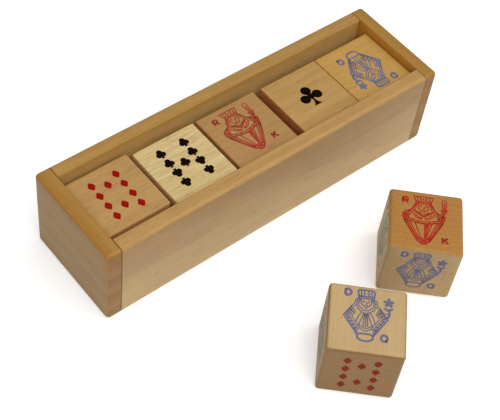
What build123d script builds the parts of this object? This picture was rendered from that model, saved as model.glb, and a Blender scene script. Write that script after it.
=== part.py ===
from build123d import *
import os

# A wooden dice box: an open tray of five boards, dowelled at its corners, with a row of dice
# in it and two more dice that stand in front of it.
# Lengths are in millimetres and angles in degrees. The origin is the middle of the underside
# of the tray, +X runs along the row of dice, +Y towards the back wall and +Z up.

# The dice
DIE_SIZE = 30.0
DIE_EDGE_RADIUS = 0.6
LOOSE_EDGE_RADIUS = 1.5
DICE_IN_ROW = 5

# Room that the tray leaves round the row, and how each part of it is shared out
ROW_SLACK = 8.0
SIDE_SLACK = 6.2
RIM_RISE = 3.75
ROW_GAP_SHARES = (0.0375, 0.2125, 0.185, 0.4725, 0.0375)
FRONT_GAP_SHARES = (0.62, 0.335, 0.305, 0.2, 0.2)

# The dice in front of the tray: along it from its middle and out from its front, in die sizes
LOOSE_PLACE_SHARES = ((1.095, 1.685), (-0.6, 2.37))
LOOSE_TURNS = (-44.5, -44.5)

# Boards
SIDE_THICKNESS = 6.5
END_THICKNESS = 6.5
FLOOR_THICKNESS = 7.5
OUTER_EDGE_RADIUS = 1.8
RIM_EDGE_RADIUS = 0.4
JOINT_LINE = 0.15

# The floor's tongue, which sits in a groove round the four walls
TONGUE_THICKNESS_SHARE = 1 / 3
TONGUE_DEPTH_SHARE = 0.5
TONGUE_ROOM = 0.25
TONGUE_FACE_ROOM = 0.1
FLOOR_EDGE_ROOM = 0.15

# Blind dowels, a pair at each corner
DOWEL_THICKNESS_SHARE = 0.5
DOWEL_END_DEPTH_SHARE = 2 / 3
DOWEL_SIDE_DEPTH = 10.0
DOWEL_SPACING_SHARE = 0.5
DOWEL_ROOM = 0.05
DOWEL_TIP_ROOM = 0.3
DOWEL_CHAMFER = 0.4

# Sizes that follow from the ones above
INNER_LENGTH = DICE_IN_ROW * DIE_SIZE + ROW_SLACK
INNER_WIDTH = DIE_SIZE + SIDE_SLACK
OUTER_WIDTH = INNER_WIDTH + 2 * SIDE_THICKNESS
WALL_RISE = DIE_SIZE + RIM_RISE
BOX_HEIGHT = FLOOR_THICKNESS + WALL_RISE
WALL_MIDDLE = (INNER_WIDTH + SIDE_THICKNESS) / 2
TONGUE_THICKNESS = TONGUE_THICKNESS_SHARE * FLOOR_THICKNESS
TONGUE_BOTTOM = (FLOOR_THICKNESS - TONGUE_THICKNESS) / 2
GROOVE_WIDTH = TONGUE_THICKNESS + TONGUE_FACE_ROOM
GROOVE_MIDDLE = TONGUE_BOTTOM + GROOVE_WIDTH / 2
SIDE_GROOVE = TONGUE_DEPTH_SHARE * SIDE_THICKNESS
END_GROOVE = TONGUE_DEPTH_SHARE * END_THICKNESS
DOWEL_RADIUS = DOWEL_THICKNESS_SHARE * SIDE_THICKNESS / 2
DOWEL_END_DEPTH = DOWEL_END_DEPTH_SHARE * END_THICKNESS
DOWEL_SPACING = DOWEL_SPACING_SHARE * WALL_RISE
DOWEL_MIDDLE = FLOOR_THICKNESS + WALL_RISE / 2

ENDS = {"left": -1, "right": 1}
SIDES = {"front": -1, "back": 1}
LEVELS = {"low": -1, "high": 1}


def save(piece, label):
    """Name a finished piece and write it out."""
    piece.part.label = label
    export_step(piece.part, f"parts/{label}.step")


def make_floor():
    """The floor board, with a tongue all round it."""
    with BuildPart() as floor_board:
        with BuildSketch():
            Rectangle(INNER_LENGTH - 2 * FLOOR_EDGE_ROOM, INNER_WIDTH - 2 * FLOOR_EDGE_ROOM)
        extrude(amount=FLOOR_THICKNESS)
        with BuildSketch(Plane.XY.offset(TONGUE_BOTTOM)):
            Rectangle(
                INNER_LENGTH + 2 * (END_GROOVE - TONGUE_ROOM),
                INNER_WIDTH + 2 * (SIDE_GROOVE - TONGUE_ROOM),
            )
        extrude(amount=TONGUE_THICKNESS)
    save(floor_board, "floor_board")


def make_long_wall(name, side):
    """A long wall, which stands between the two end panels; side is -1 at the front."""
    groove_y = side * (INNER_WIDTH + SIDE_GROOVE) / 2
    with BuildPart() as long_wall:
        with BuildSketch(Plane.YZ) as section:
            with Locations((side * WALL_MIDDLE, BOX_HEIGHT / 2)):
                Rectangle(SIDE_THICKNESS, BOX_HEIGHT)
            fillet(section.vertices().sort_by(Axis.X, reverse=side > 0)[:2], OUTER_EDGE_RADIUS)
            inner_corners = section.vertices().sort_by(Axis.X, reverse=side < 0)[:2]
            fillet(inner_corners.sort_by(Axis.Y)[-1], RIM_EDGE_RADIUS)
            with Locations((groove_y, GROOVE_MIDDLE)):
                Rectangle(SIDE_GROOVE, GROOVE_WIDTH, mode=Mode.SUBTRACT)
        extrude(amount=INNER_LENGTH / 2, both=True)
        for end in ENDS.values():
            end_middle = (end * INNER_LENGTH / 2, side * WALL_MIDDLE, DOWEL_MIDDLE)
            with Locations(Plane(origin=end_middle, x_dir=(0, 0, 1), z_dir=(end, 0, 0))):
                with GridLocations(DOWEL_SPACING, 0, len(LEVELS), 1):
                    Hole(DOWEL_RADIUS + DOWEL_ROOM, depth=DOWEL_SIDE_DEPTH + DOWEL_TIP_ROOM)
    save(long_wall, f"{name}_wall")


def make_end_panel(name, end):
    """An end panel, which laps over the ends of both long walls; end is -1 at the left."""
    inner_x = end * INNER_LENGTH / 2
    face_middle = (inner_x, 0, BOX_HEIGHT / 2)
    groove_middle = (inner_x, 0, GROOVE_MIDDLE)
    dowel_middle = (inner_x, 0, DOWEL_MIDDLE)
    with BuildPart() as end_panel:
        with BuildSketch(Plane(origin=face_middle, x_dir=(0, end, 0), z_dir=(end, 0, 0))):
            Rectangle(OUTER_WIDTH, BOX_HEIGHT)
        extrude(amount=END_THICKNESS)
        inner_face = end_panel.faces().sort_by(Axis.X, reverse=end < 0)[0]
        fillet(end_panel.edges() - inner_face.edges(), OUTER_EDGE_RADIUS)
        inner_face = end_panel.faces().sort_by(Axis.X, reverse=end < 0)[0]
        chamfer(inner_face.edges(), JOINT_LINE)
        with BuildSketch(Plane(origin=groove_middle, x_dir=(0, end, 0), z_dir=(end, 0, 0))):
            Rectangle(INNER_WIDTH + 2 * SIDE_GROOVE, GROOVE_WIDTH)
        extrude(amount=END_GROOVE, mode=Mode.SUBTRACT)
        with Locations(Plane(origin=dowel_middle, x_dir=(0, 0, 1), z_dir=(-end, 0, 0))):
            with GridLocations(DOWEL_SPACING, 2 * WALL_MIDDLE, len(LEVELS), len(SIDES)):
                Hole(DOWEL_RADIUS + DOWEL_ROOM, depth=DOWEL_END_DEPTH + DOWEL_TIP_ROOM)
    save(end_panel, f"{name}_end_panel")


def make_dowel(label, end, side, level):
    """A dowel that runs out of a long wall into an end panel."""
    inner_tip = end * (INNER_LENGTH / 2 - DOWEL_SIDE_DEPTH)
    height = DOWEL_MIDDLE + level * DOWEL_SPACING / 2
    seat = Plane(origin=(inner_tip, side * WALL_MIDDLE, height), z_dir=(end, 0, 0))
    with BuildPart(seat) as dowel:
        Cylinder(
            DOWEL_RADIUS,
            DOWEL_SIDE_DEPTH + DOWEL_END_DEPTH,
            align=(Align.CENTER, Align.CENTER, Align.MIN),
        )
        chamfer(dowel.edges().filter_by(GeomType.CIRCLE), DOWEL_CHAMFER)
    save(dowel, label)


def make_die(label, seat, edge_radius):
    """A die with rounded edges, standing on the given plane."""
    with BuildPart(seat) as die:
        Box(DIE_SIZE, DIE_SIZE, DIE_SIZE, align=(Align.CENTER, Align.CENTER, Align.MIN))
        fillet(die.edges(), edge_radius)
    save(die, label)


os.makedirs("parts", exist_ok=True)

# The tray
make_floor()
for side_name, side_sign in SIDES.items():
    make_long_wall(side_name, side_sign)
for end_name, end_sign in ENDS.items():
    make_end_panel(end_name, end_sign)
for end_name, end_sign in ENDS.items():
    for side_name, side_sign in SIDES.items():
        for level_name, level_sign in LEVELS.items():
            dowel_name = f"dowel_{side_name}_{end_name}_{level_name}"
            make_dowel(dowel_name, end_sign, side_sign, level_sign)

# The row of dice, each set in from the last by its own gap
row_x = -INNER_LENGTH / 2
for number in range(DICE_IN_ROW):
    row_x += ROW_GAP_SHARES[number] * ROW_SLACK
    row_y = (DIE_SIZE - INNER_WIDTH) / 2 + FRONT_GAP_SHARES[number] * SIDE_SLACK
    place = (row_x + DIE_SIZE / 2, row_y, FLOOR_THICKNESS)
    make_die(f"die_{number + 1}", Plane(origin=place, z_dir=(0, 0, 1)), DIE_EDGE_RADIUS)
    row_x += DIE_SIZE

# The loose dice, which stand on the same surface as the tray
for number, (along_share, out_share) in enumerate(LOOSE_PLACE_SHARES):
    place = (along_share * DIE_SIZE, -OUTER_WIDTH / 2 - out_share * DIE_SIZE, 0)
    loose_seat = Plane(origin=place, z_dir=(0, 0, 1)).rotated((0, 0, LOOSE_TURNS[number]))
    make_die(f"loose_die_{number + 1}", loose_seat, LOOSE_EDGE_RADIUS)
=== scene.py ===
"""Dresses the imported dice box: timber for its boards and dice, ink for the dice's marks, and a studio."""

import logging
import math
from collections.abc import Iterable
from dataclasses import dataclass, field, replace
from enum import Enum
from functools import reduce

import bmesh
import bpy
from mathutils import Color, Euler, Matrix, Quaternion, Vector


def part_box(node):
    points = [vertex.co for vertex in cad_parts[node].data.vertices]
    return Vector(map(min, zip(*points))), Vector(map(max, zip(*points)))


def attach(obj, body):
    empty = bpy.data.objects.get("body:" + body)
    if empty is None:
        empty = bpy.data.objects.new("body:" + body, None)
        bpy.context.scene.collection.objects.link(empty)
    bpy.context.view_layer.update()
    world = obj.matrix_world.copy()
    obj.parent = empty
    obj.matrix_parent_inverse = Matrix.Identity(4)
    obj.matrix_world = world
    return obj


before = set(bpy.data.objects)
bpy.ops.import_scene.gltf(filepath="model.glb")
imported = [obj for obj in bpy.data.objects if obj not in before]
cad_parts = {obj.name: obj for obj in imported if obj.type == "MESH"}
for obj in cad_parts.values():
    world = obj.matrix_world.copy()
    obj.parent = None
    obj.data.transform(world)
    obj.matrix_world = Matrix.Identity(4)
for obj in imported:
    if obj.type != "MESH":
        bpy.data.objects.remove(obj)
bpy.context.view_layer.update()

LOG = logging.getLogger("dice_box")
ANY_DIE = "any_die"
MM = 0.001
DISPLAY_WHITE = 255
NOISE_MIDDLE = 0.5

Point = tuple[float, float]
Triple = tuple[float, float, float]
Colour = tuple[float, float, float, float]
Display = tuple[int, int, int]
SocketNames = dict[str, tuple[str, ...]]
Socket = bpy.types.NodeSocket
Sockets = dict[str, Socket]
Outputs = bpy.types.NodeOutputs

WHITE: Colour = (1.0, 1.0, 1.0, 1.0)
NO_TINT: Triple = (1.0, 1.0, 1.0)
NOWHERE: Triple = (0, 0, 0)
RIGHT: Triple = (1, 0, 0)
LEFT: Triple = (-1, 0, 0)
BACK: Triple = (0, 1, 0)
FRONT: Triple = (0, -1, 0)
UP: Triple = (0, 0, 1)
DOWN: Triple = (0, 0, -1)

# The dice and their ink, in millimetres and degrees; the flatness is a line's height to its width
DIE_SIZE = 30.0
LOOSE_TURN = -44.5
INK_DEPTH = 0.03
INK_SINK = 0.01
LINE_FLATNESS = 0.1
LINE_WIDTH = 0.63
BOLD_WIDTH = 0.95
LETTER_WIDTH = 1.12
MERGE_GAP = 0.00001

# How finely the ink's curves and corners are cut up
LINE_ROUNDNESS = 1
LINE_STEPS = 4
SPOT_STEPS = 5
DOT_CORNERS = 12
DIAMOND_CORNERS = 4
ROUNDING_STEPS = 3

# The Mix node's sockets for colours, by number because those for other values have the same names
MIX_FACTOR = 0
MIX_FIRST = 6
MIX_SECOND = 7
MIX_RESULT = 2


def shade(display: Display) -> Colour:
    """Turn a display colour, 0 to 255, into the linear colour that shader sockets take."""
    linear = Color([value / DISPLAY_WHITE for value in display]).from_srgb_to_scene_linear()
    return (*linear, 1.0)


class Ink(Enum):
    """The inks on the dice, by the record's slots."""

    RED = "red_ink"
    BLACK = "black_ink"
    BLUE = "blue_ink"
    GREEN = "green_ink"


class Mark(Enum):
    """What a face of a die shows, and its ink."""

    ACE = ("ace", Ink.BLACK)
    KING = ("king", Ink.RED)
    QUEEN = ("queen", Ink.BLUE)
    JACK = ("jack", Ink.GREEN)
    TEN = ("ten", Ink.RED)
    NINE = ("nine", Ink.BLACK)

    @property
    def label(self) -> str:
        """The mark's name."""
        return self.value[0]

    @property
    def ink(self) -> Ink:
        """The ink that the mark is printed in."""
        return self.value[1]


class Grain(Enum):
    """The direction that a piece's fibres run in, and the turn that brings it to X."""

    ALONG_X = (RIGHT, (0.0, 0.0, 0.0))
    ALONG_Y = (BACK, (0.0, 0.0, -math.pi / 2))
    ALONG_Z = (UP, (0.0, math.pi / 2, 0.0))

    @property
    def axis(self) -> Triple:
        """The fibres' direction."""
        return self.value[0]

    @property
    def turn(self) -> Triple:
        """The turn, in radians, that lays the fibres along X."""
        return self.value[1]


@dataclass(frozen=True)
class Noise:
    """A noise: how closely it is packed along the three axes, and how fine its detail goes."""

    packing: Triple
    detail: float = 2.0


class NodeSheet:
    """A shader node tree that is filled in with short calls."""

    def __init__(self, tree: bpy.types.NodeTree) -> None:
        """Take over a node tree."""
        self.tree = tree

    def add(self, kind: str, values: dict | None = None, **settings: object) -> bpy.types.Node:
        """Add a shader node.

        Args:
            kind: the node's type, without its prefix.
            values: what each input gets, by its name or number: a value, or a socket to link.
            settings: the node's own settings.

        Returns:
            The new node.
        """
        node = self.tree.nodes.new(f"ShaderNode{kind}")
        for name, value in settings.items():
            setattr(node, name, value)
        for key, value in (values or {}).items():
            self.feed(node.inputs[key], value)
        return node

    def feed(self, socket: Socket, value: object) -> None:
        """Fill an input.

        Args:
            socket: the input.
            value: its new value, or a socket to link into it.
        """
        if isinstance(value, Socket):
            self.tree.links.new(value, socket)
        else:
            socket.default_value = value

    def math(self, operation: str, first: object, second: object = 0.0) -> Socket:
        """Put two numbers through a Math node."""
        return self.add("Math", {0: first, 1: second}, operation=operation).outputs[0]

    def vector(self, operation: str, first: object, second: object = NOWHERE) -> Socket:
        """Put two vectors through a Vector Math node that gives a vector."""
        return self.add("VectorMath", {0: first, 1: second}, operation=operation).outputs["Vector"]

    def dot(self, first: object, second: object) -> Socket:
        """How far one vector runs along another."""
        return self.add("VectorMath", {0: first, 1: second}, operation="DOT_PRODUCT").outputs["Value"]

    def times(self, first: object, second: object) -> Socket:
        """Multiply two numbers."""
        return self.math("MULTIPLY", first, second)

    def total(self, *values: object) -> Socket:
        """Add numbers up."""
        return reduce(lambda first, second: self.math("ADD", first, second), values)

    def weigh(self, *shares: tuple[object, object], base: float = 0.0) -> Socket:
        """Add up numbers times their weights, on top of a base."""
        return self.total(*(self.times(value, weight) for value, weight in shares), base)

    def swing(self, value: object, strength: object, middle: float = NOISE_MIDDLE) -> Socket:
        """Turn a number into its distance from a middle, times a strength."""
        return self.times(self.math("SUBTRACT", value, middle), strength)

    def step(self, value: object, low: object, high: object) -> Socket:
        """Rise smoothly from 0 at low to 1 at high."""
        values = {"Value": value, "From Min": low, "From Max": high}
        return self.add("MapRange", values, interpolation_type="SMOOTHSTEP").outputs["Result"]

    def noise(self, place: object, noise: Noise) -> Outputs:
        """Add a noise."""
        packed = self.vector("MULTIPLY", place, noise.packing)
        return self.add("TexNoise", {"Vector": packed, "Scale": 1.0, "Detail": noise.detail}).outputs

    def grey(self, place: object, noise: Noise) -> Socket:
        """The value of a noise."""
        return self.noise(place, noise)["Fac"]

    def drift(self, place: object, noise: Noise, reach: Triple) -> Socket:
        """The way that a noise moves a place, by up to half a reach on each axis."""
        shift = self.vector("SUBTRACT", self.noise(place, noise)["Color"], (NOISE_MIDDLE,) * 3)
        return self.vector("MULTIPLY", shift, reach)

    def blend(self, factor: object, first: object, second: object, kind: str = "MIX") -> Socket:
        """Mix two colours."""
        values = {MIX_FACTOR: factor, MIX_FIRST: first, MIX_SECOND: second}
        return self.add("Mix", values, data_type="RGBA", blend_type=kind).outputs[MIX_RESULT]


class SharedEffect:
    """A shader node group that is built once and placed in each material that needs it."""

    title = "effect"
    takes: SocketNames = {}
    gives: SocketNames = {}

    def __init__(self) -> None:
        """Build the group's sockets and its nodes."""
        self.tree = bpy.data.node_groups.new(self.title, "ShaderNodeTree")
        for side, sockets in (("INPUT", self.takes), ("OUTPUT", self.gives)):
            for kind, names in sockets.items():
                for name in names:
                    self.tree.interface.new_socket(name=name, in_out=side, socket_type=f"NodeSocket{kind}")
        self.sheet = NodeSheet(self.tree)
        self.given = self.tree.nodes.new("NodeGroupInput").outputs
        made = self.tree.nodes.new("NodeGroupOutput").inputs
        for name, socket in self.draw().items():
            self.tree.links.new(socket, made[name])

    def draw(self) -> Sockets:
        """Add the effect's nodes, and give the socket that feeds each of the group's outputs."""
        raise NotImplementedError

    def place(self, sheet: NodeSheet, values: dict[str, object]) -> Outputs:
        """Place the group in a material.

        Args:
            sheet: the material's node tree.
            values: what each of the group's inputs gets.

        Returns:
            The group's outputs.
        """
        node = sheet.add("Group", node_tree=self.tree)
        for name, value in values.items():
            sheet.feed(node.inputs[name], value)
        return node.outputs


LOOK = {"Color": ("Color",), "Float": ("Roughness", "Height")}
# The top, foot and inside masks place painted light and shade; the edge mask places wear, and a painted
# highlight where its tint is lighter
MASKS = ("Edge", "Upper", "Foot", "Inside", "Joint", "Brow")


class WoodGrain(SharedEffect):
    """Growth rings, fibres and flecks round a heart line that runs along X, in millimetres."""

    title = "wood_grain"
    takes = {
        "Vector": ("Vector",),
        "Color": ("Light", "Dark", "Fleck", "End tint"),
        "Float": ("Ring width", "Ring strength", "Fibre strength", "Fleck strength", "End grain"),
    }
    gives = LOOK
    bends = ((Noise((0.006, 0.03, 0.03)), (0, 16, 16)), (Noise((0.05, 0.25, 0.25)), (0, 2, 2)))
    streak = Noise((0.012, 0.3, 0.3))
    fibre = Noise((0.05, 2.4, 2.4), 4.0)
    fleck = Noise((0.22, 3.2, 3.2), 1.0)
    fleck_range = (0.60, 0.72)
    late_rise = (0.1, 0.8)
    late_fall = (1.0, 0.84)
    late_middle = 0.38
    tone_middle = 0.5
    streak_gain = 2.2
    fibre_gain = 2.0
    roughness = 0.42
    fibre_roughness = 0.16
    fleck_roughness = 0.12
    fibre_height = 0.6
    fleck_height = -0.8

    def rings(self) -> Socket:
        """How much of the late, dark part of a growth ring a point has.

        Returns:
            A number from 0 to 1.
        """
        sheet, place = self.sheet, self.given["Vector"]
        moved = place
        for noise, reach in self.bends:
            moved = sheet.vector("ADD", moved, sheet.drift(place, noise, reach))
        across = sheet.vector("MULTIPLY", moved, (0, 1, 1))
        radius = sheet.add("VectorMath", {0: across}, operation="LENGTH").outputs["Value"]
        ring = sheet.math("FRACT", sheet.math("DIVIDE", radius, self.given["Ring width"]))
        return sheet.times(sheet.step(ring, *self.late_rise), sheet.step(ring, *self.late_fall))

    def draw(self) -> Sockets:
        """Add the rings, the fibres and the flecks, and mix the colours by them.

        Returns:
            The colour, the roughness and the height.
        """
        sheet, given = self.sheet, self.given
        ring_strength = given["Ring strength"]
        streak = sheet.grey(given["Vector"], self.streak)
        fibre = sheet.grey(given["Vector"], self.fibre)
        fleck = sheet.step(sheet.grey(given["Vector"], self.fleck), *self.fleck_range)
        end_strength = sheet.times(ring_strength, sheet.math("ADD", given["End grain"], 1.0))
        tone = sheet.total(
            sheet.swing(self.rings(), end_strength, self.late_middle),
            sheet.swing(streak, sheet.times(ring_strength, self.streak_gain)),
            sheet.swing(fibre, sheet.times(given["Fibre strength"], self.fibre_gain)),
            self.tone_middle,
        )
        wood = sheet.blend(sheet.step(tone, 0.0, 1.0), given["Light"], given["Dark"])
        flecked = sheet.blend(sheet.times(fleck, given["Fleck strength"]), wood, given["Fleck"])
        ends = sheet.blend(given["End grain"], WHITE, given["End tint"])
        return {
            "Color": sheet.blend(1.0, flecked, ends, "MULTIPLY"),
            "Roughness": sheet.weigh(
                (fibre, self.fibre_roughness), (fleck, self.fleck_roughness), base=self.roughness
            ),
            "Height": sheet.weigh((fibre, self.fibre_height), (fleck, self.fleck_height)),
        }


class BlockMasks(SharedEffect):
    """Tells where a point of a box-shaped piece lies, with one mask for each kind of place."""

    title = "block_masks"
    takes = {
        "Vector": ("Vector", "Normal", "Centre", "Half size", "Fibres", "Inward"),
        "Float": (
            "Turn",
            "Edge width",
            "Upper from",
            *(f"{mask} {end}" for mask in ("Foot", "Joint", "Brow") for end in ("from", "to")),
        ),
    }
    gives = {"Float": (*MASKS, "End grain")}
    ragged = Noise((420, 420, 420), 3.0)
    lit_top_to = 0.95
    inside_shading_range = (0.8, 0.98)
    end_grain_range = (0.6, 0.95)

    def edge(self) -> Socket:
        """Take the middle one of the distances to the box's three pairs of sides.

        Returns:
            1 at an edge of the box, and 0 from the edge's width on.
        """
        sheet, given = self.sheet, self.given
        values = {"Vector": given["Vector"], "Center": given["Centre"], "Angle": given["Turn"]}
        turned = sheet.add("VectorRotate", values, rotation_type="Z_AXIS").outputs["Vector"]
        reach = sheet.vector("ABSOLUTE", sheet.vector("SUBTRACT", turned, given["Centre"]))
        gaps = sheet.add("SeparateXYZ", {0: sheet.vector("SUBTRACT", given["Half size"], reach)}).outputs
        least = sheet.math("MINIMUM", sheet.math("MINIMUM", gaps[0], gaps[1]), gaps[2])
        most = sheet.math("MAXIMUM", sheet.math("MAXIMUM", gaps[0], gaps[1]), gaps[2])
        middle = sheet.math("SUBTRACT", sheet.math("SUBTRACT", sheet.total(*gaps), least), most)
        shake = sheet.swing(sheet.grey(given["Vector"], self.ragged), given["Edge width"])
        return sheet.step(sheet.math("ADD", middle, shake), given["Edge width"], 0.0)

    def between(self, mask: str, value: Socket) -> Socket:
        """Rise smoothly between a mask's own limits."""
        return self.sheet.step(value, self.given[f"{mask} from"], self.given[f"{mask} to"])

    def draw(self) -> Sockets:
        """Measure a point's place and its normal along the piece's own directions.

        Returns:
            The masks.
        """
        sheet, given = self.sheet, self.given
        normal = given["Normal"]
        offset = sheet.vector("SUBTRACT", given["Vector"], given["Centre"])
        # The top mask places painted light: faces that look up are tinted as lit from above
        lit_top = sheet.step(sheet.dot(normal, UP), given["Upper from"], self.lit_top_to)
        outer = self.between("Brow", sheet.dot(offset, given["Inward"]))
        facing = sheet.math("ABSOLUTE", sheet.dot(normal, given["Fibres"]))
        return {
            "Edge": self.edge(),
            "Upper": lit_top,
            # The foot mask places painted light: a face grows lighter towards its bottom
            "Foot": self.between("Foot", sheet.dot(offset, UP)),
            # The inside mask places painted light and shade on faces that look towards the tray's inside or
            # into a gap
            "Inside": sheet.step(sheet.dot(normal, given["Inward"]), *self.inside_shading_range),
            "Joint": self.between("Joint", sheet.math("ABSOLUTE", sheet.dot(offset, given["Fibres"]))),
            "Brow": sheet.times(lit_top, outer),
            "End grain": sheet.step(facing, *self.end_grain_range),
        }


class WearAndPaintedLight(SharedEffect):
    """What age and use leave on timber, blotches, dents and worn, smooth edges, and a tint for each mask,
    where the top, foot and inside tints and a lighter edge tint paint light and shade.
    """

    title = "handling"
    takes = {
        "Vector": ("Vector",),
        "Color": ("Color", *(f"{mask} tint" for mask in MASKS)),
        "Float": ("Roughness", *MASKS),
    }
    gives = LOOK
    blotch = Noise((55, 55, 55), 3.0)
    speck = Noise((900, 900, 900))
    dent = Noise((240, 240, 240), 1.0)
    dent_range = (0.68, 0.80)
    blotch_gain = 0.22
    speck_gain = 0.10
    edge_roughness = -0.06
    dent_height = -0.7

    def draw(self) -> Sockets:
        """Tint the colour by the masks, which paints light and shade on tops, feet, insides and lighter
        edges, and by a slow noise, and press the dents in.

        Returns:
            The colour, the roughness and the height.
        """
        sheet, given = self.sheet, self.given
        drift = sheet.swing(sheet.grey(given["Vector"], self.blotch), self.blotch_gain)
        speck = sheet.swing(sheet.grey(given["Vector"], self.speck), self.speck_gain)
        dent = sheet.step(sheet.grey(given["Vector"], self.dent), *self.dent_range)
        colour = given["Color"]
        for mask in MASKS:
            tint = sheet.blend(given[mask], WHITE, given[f"{mask} tint"])
            colour = sheet.vector("MULTIPLY", colour, tint)
        level = sheet.total(drift, speck, 1.0)
        polish = sheet.times(given["Edge"], self.edge_roughness)
        scaled = sheet.add("VectorMath", {0: colour, "Scale": level}, operation="SCALE")
        return {
            "Color": scaled.outputs["Vector"],
            "Roughness": sheet.total(given["Roughness"], drift, polish),
            "Height": sheet.times(dent, self.dent_height),
        }


class InkWear(SharedEffect):
    """Ink that is thin in places, so that the timber under it shows through."""

    title = "ink_wear"
    takes = {"Vector": ("Vector",), "Color": ("Ink", "Thin ink"), "Float": ("Wear",)}
    gives = LOOK
    fine = Noise((2600, 2600, 2600), 3.0)
    coarse = Noise((260, 260, 260))
    fine_share = 0.6
    coarse_share = 0.4
    thin_range = (0.46, 0.66)
    roughness = 0.38
    fine_roughness = 0.2

    def draw(self) -> Sockets:
        """Thin the ink by a fine noise and a coarse one.

        Returns:
            The colour, the roughness and the height.
        """
        sheet, given = self.sheet, self.given
        fine = sheet.grey(given["Vector"], self.fine)
        coarse = sheet.grey(given["Vector"], self.coarse)
        patch = sheet.weigh((fine, self.fine_share), (coarse, self.coarse_share))
        thin = sheet.times(sheet.step(patch, *self.thin_range), given["Wear"])
        return {
            "Color": sheet.blend(thin, given["Ink"], given["Thin ink"]),
            "Roughness": sheet.weigh((fine, self.fine_roughness), base=self.roughness),
            "Height": fine,
        }


@dataclass
class Effects:
    """The node groups that the materials share."""

    grain: WoodGrain = field(default_factory=WoodGrain)
    masks: BlockMasks = field(default_factory=BlockMasks)
    handling: WearAndPaintedLight = field(default_factory=WearAndPaintedLight)
    ink: InkWear = field(default_factory=InkWear)


def new_material(name: str) -> tuple[NodeSheet, bpy.types.Node, bpy.types.Material]:
    """Start a material.

    Args:
        name: the material's name.

    Returns:
        Its node tree, its Principled BSDF and the material.
    """
    material = bpy.data.materials.new(name)
    material.use_nodes = True
    return NodeSheet(material.node_tree), material.node_tree.nodes["Principled BSDF"], material


@dataclass(frozen=True)
class Surface:
    """How a finish takes the light: its relief in millimetres, its bump and its specular level."""

    relief: float
    bump: float
    specular: float

    def put_on(self, sheet: NodeSheet, shader: bpy.types.Node, look: Outputs, height: Socket) -> None:
        """Feed a look into a shader.

        Args:
            sheet: the material's node tree.
            shader: its Principled BSDF.
            look: the outputs that give the colour and the roughness.
            height: the socket that gives the height.
        """
        bump = sheet.add("Bump", {"Height": height, "Strength": self.bump, "Distance": self.relief * MM})
        sheet.feed(shader.inputs["Base Color"], look["Color"])
        sheet.feed(shader.inputs["Roughness"], look["Roughness"])
        sheet.feed(shader.inputs["Normal"], bump.outputs["Normal"])
        shader.inputs["Specular IOR Level"].default_value = self.specular


SATIN = Surface(relief=0.04, bump=0.6, specular=0.3)
PRINT = Surface(relief=0.02, bump=0.3, specular=0.04)


@dataclass(frozen=True)
class WoodFinish:
    """One timber: its display colours, their tints, of which the top, foot and inside ones and a lighter
    edge one paint light and shade, and its figure. Lengths are in millimetres.
    """

    slot: str
    light: Display
    dark: Display
    fleck: Display
    end_tint: Triple = (0.84, 0.80, 0.74)
    # Painted light: faces that look up are tinted as lit from above
    upper_tint: Triple = (1.0, 0.93, 0.74)
    edge_tint: Triple = (0.92, 0.84, 0.70)
    # Painted light: a face lighter towards its bottom, over the share of its height that the fade gives
    foot_tint: Triple = NO_TINT
    # Painted light and shade on the face that looks towards the tray's inside or into a gap
    inside_tint: Triple = NO_TINT
    joint_tint: Triple = NO_TINT
    brow_tint: Triple = NO_TINT
    ring_width: float = 3.0
    ring_strength: float = 0.15
    fibre_strength: float = 0.4
    fleck_strength: float = 0.35
    edge_width: float = 0.8
    lit_top_from: float = 0.0
    lit_foot_fade: float = 1.0
    joint_width: float = 0.7
    brow_shares: Point = (0.6, -0.9)
    surface: Surface = SATIN

    def limits(self, block: "Block") -> dict[str, object]:
        """Work out where the masks of a piece start and end.

        Args:
            block: the piece.

        Returns:
            What the masks' group takes, by the names of its inputs.
        """
        rise = block.half_size.z
        brow_from, brow_to = self.brow_shares
        return {
            "Centre": block.centre,
            "Half size": block.half_size,
            "Fibres": block.fibres,
            "Inward": block.inward,
            "Turn": -block.angle,
            "Edge width": self.edge_width * MM,
            "Upper from": self.lit_top_from,
            "Foot from": rise,
            "Foot to": rise * (1 - 2 * self.lit_foot_fade),
            "Joint from": block.reach - self.joint_width * MM,
            "Joint to": block.reach,
            "Brow from": block.depth * brow_from,
            "Brow to": block.depth * brow_to,
        }

    def material(self, effects: Effects, block: "Block") -> bpy.types.Material:
        """Make the material of one piece.

        Args:
            effects: the shared node groups.
            block: the piece's fibres, heart line, place and size.

        Returns:
            The material.
        """
        sheet, shader, material = new_material(f"{self.slot}.{block.node}")
        coordinates = sheet.add("TexCoord").outputs
        place = coordinates["Object"]
        spot = {"Vector": place, "Normal": coordinates["Normal"]}
        masks = effects.masks.place(sheet, spot | self.limits(block))
        lay = {"Vector": place, "Location": block.heart, "Rotation": block.lay, "Scale": (1 / MM,) * 3}
        figure = {
            "Vector": sheet.add("Mapping", lay).outputs["Vector"],
            "Light": shade(self.light),
            "Dark": shade(self.dark),
            "Fleck": shade(self.fleck),
            "End tint": (*self.end_tint, 1.0),
            "Ring width": self.ring_width,
            "Ring strength": self.ring_strength,
            "Fibre strength": self.fibre_strength,
            "Fleck strength": self.fleck_strength,
            "End grain": masks["End grain"],
        }
        wood = effects.grain.place(sheet, figure)
        use = {"Vector": place, "Color": wood["Color"], "Roughness": wood["Roughness"]}
        # The tints of the top, foot and inside masks, and a lighter edge tint, are painted light and shade
        for mask in MASKS:
            use[mask] = masks[mask]
            use[f"{mask} tint"] = (*getattr(self, f"{mask.lower()}_tint"), 1.0)
        used = effects.handling.place(sheet, use)
        self.surface.put_on(sheet, shader, used, sheet.math("ADD", wood["Height"], used["Height"]))
        return material


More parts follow.
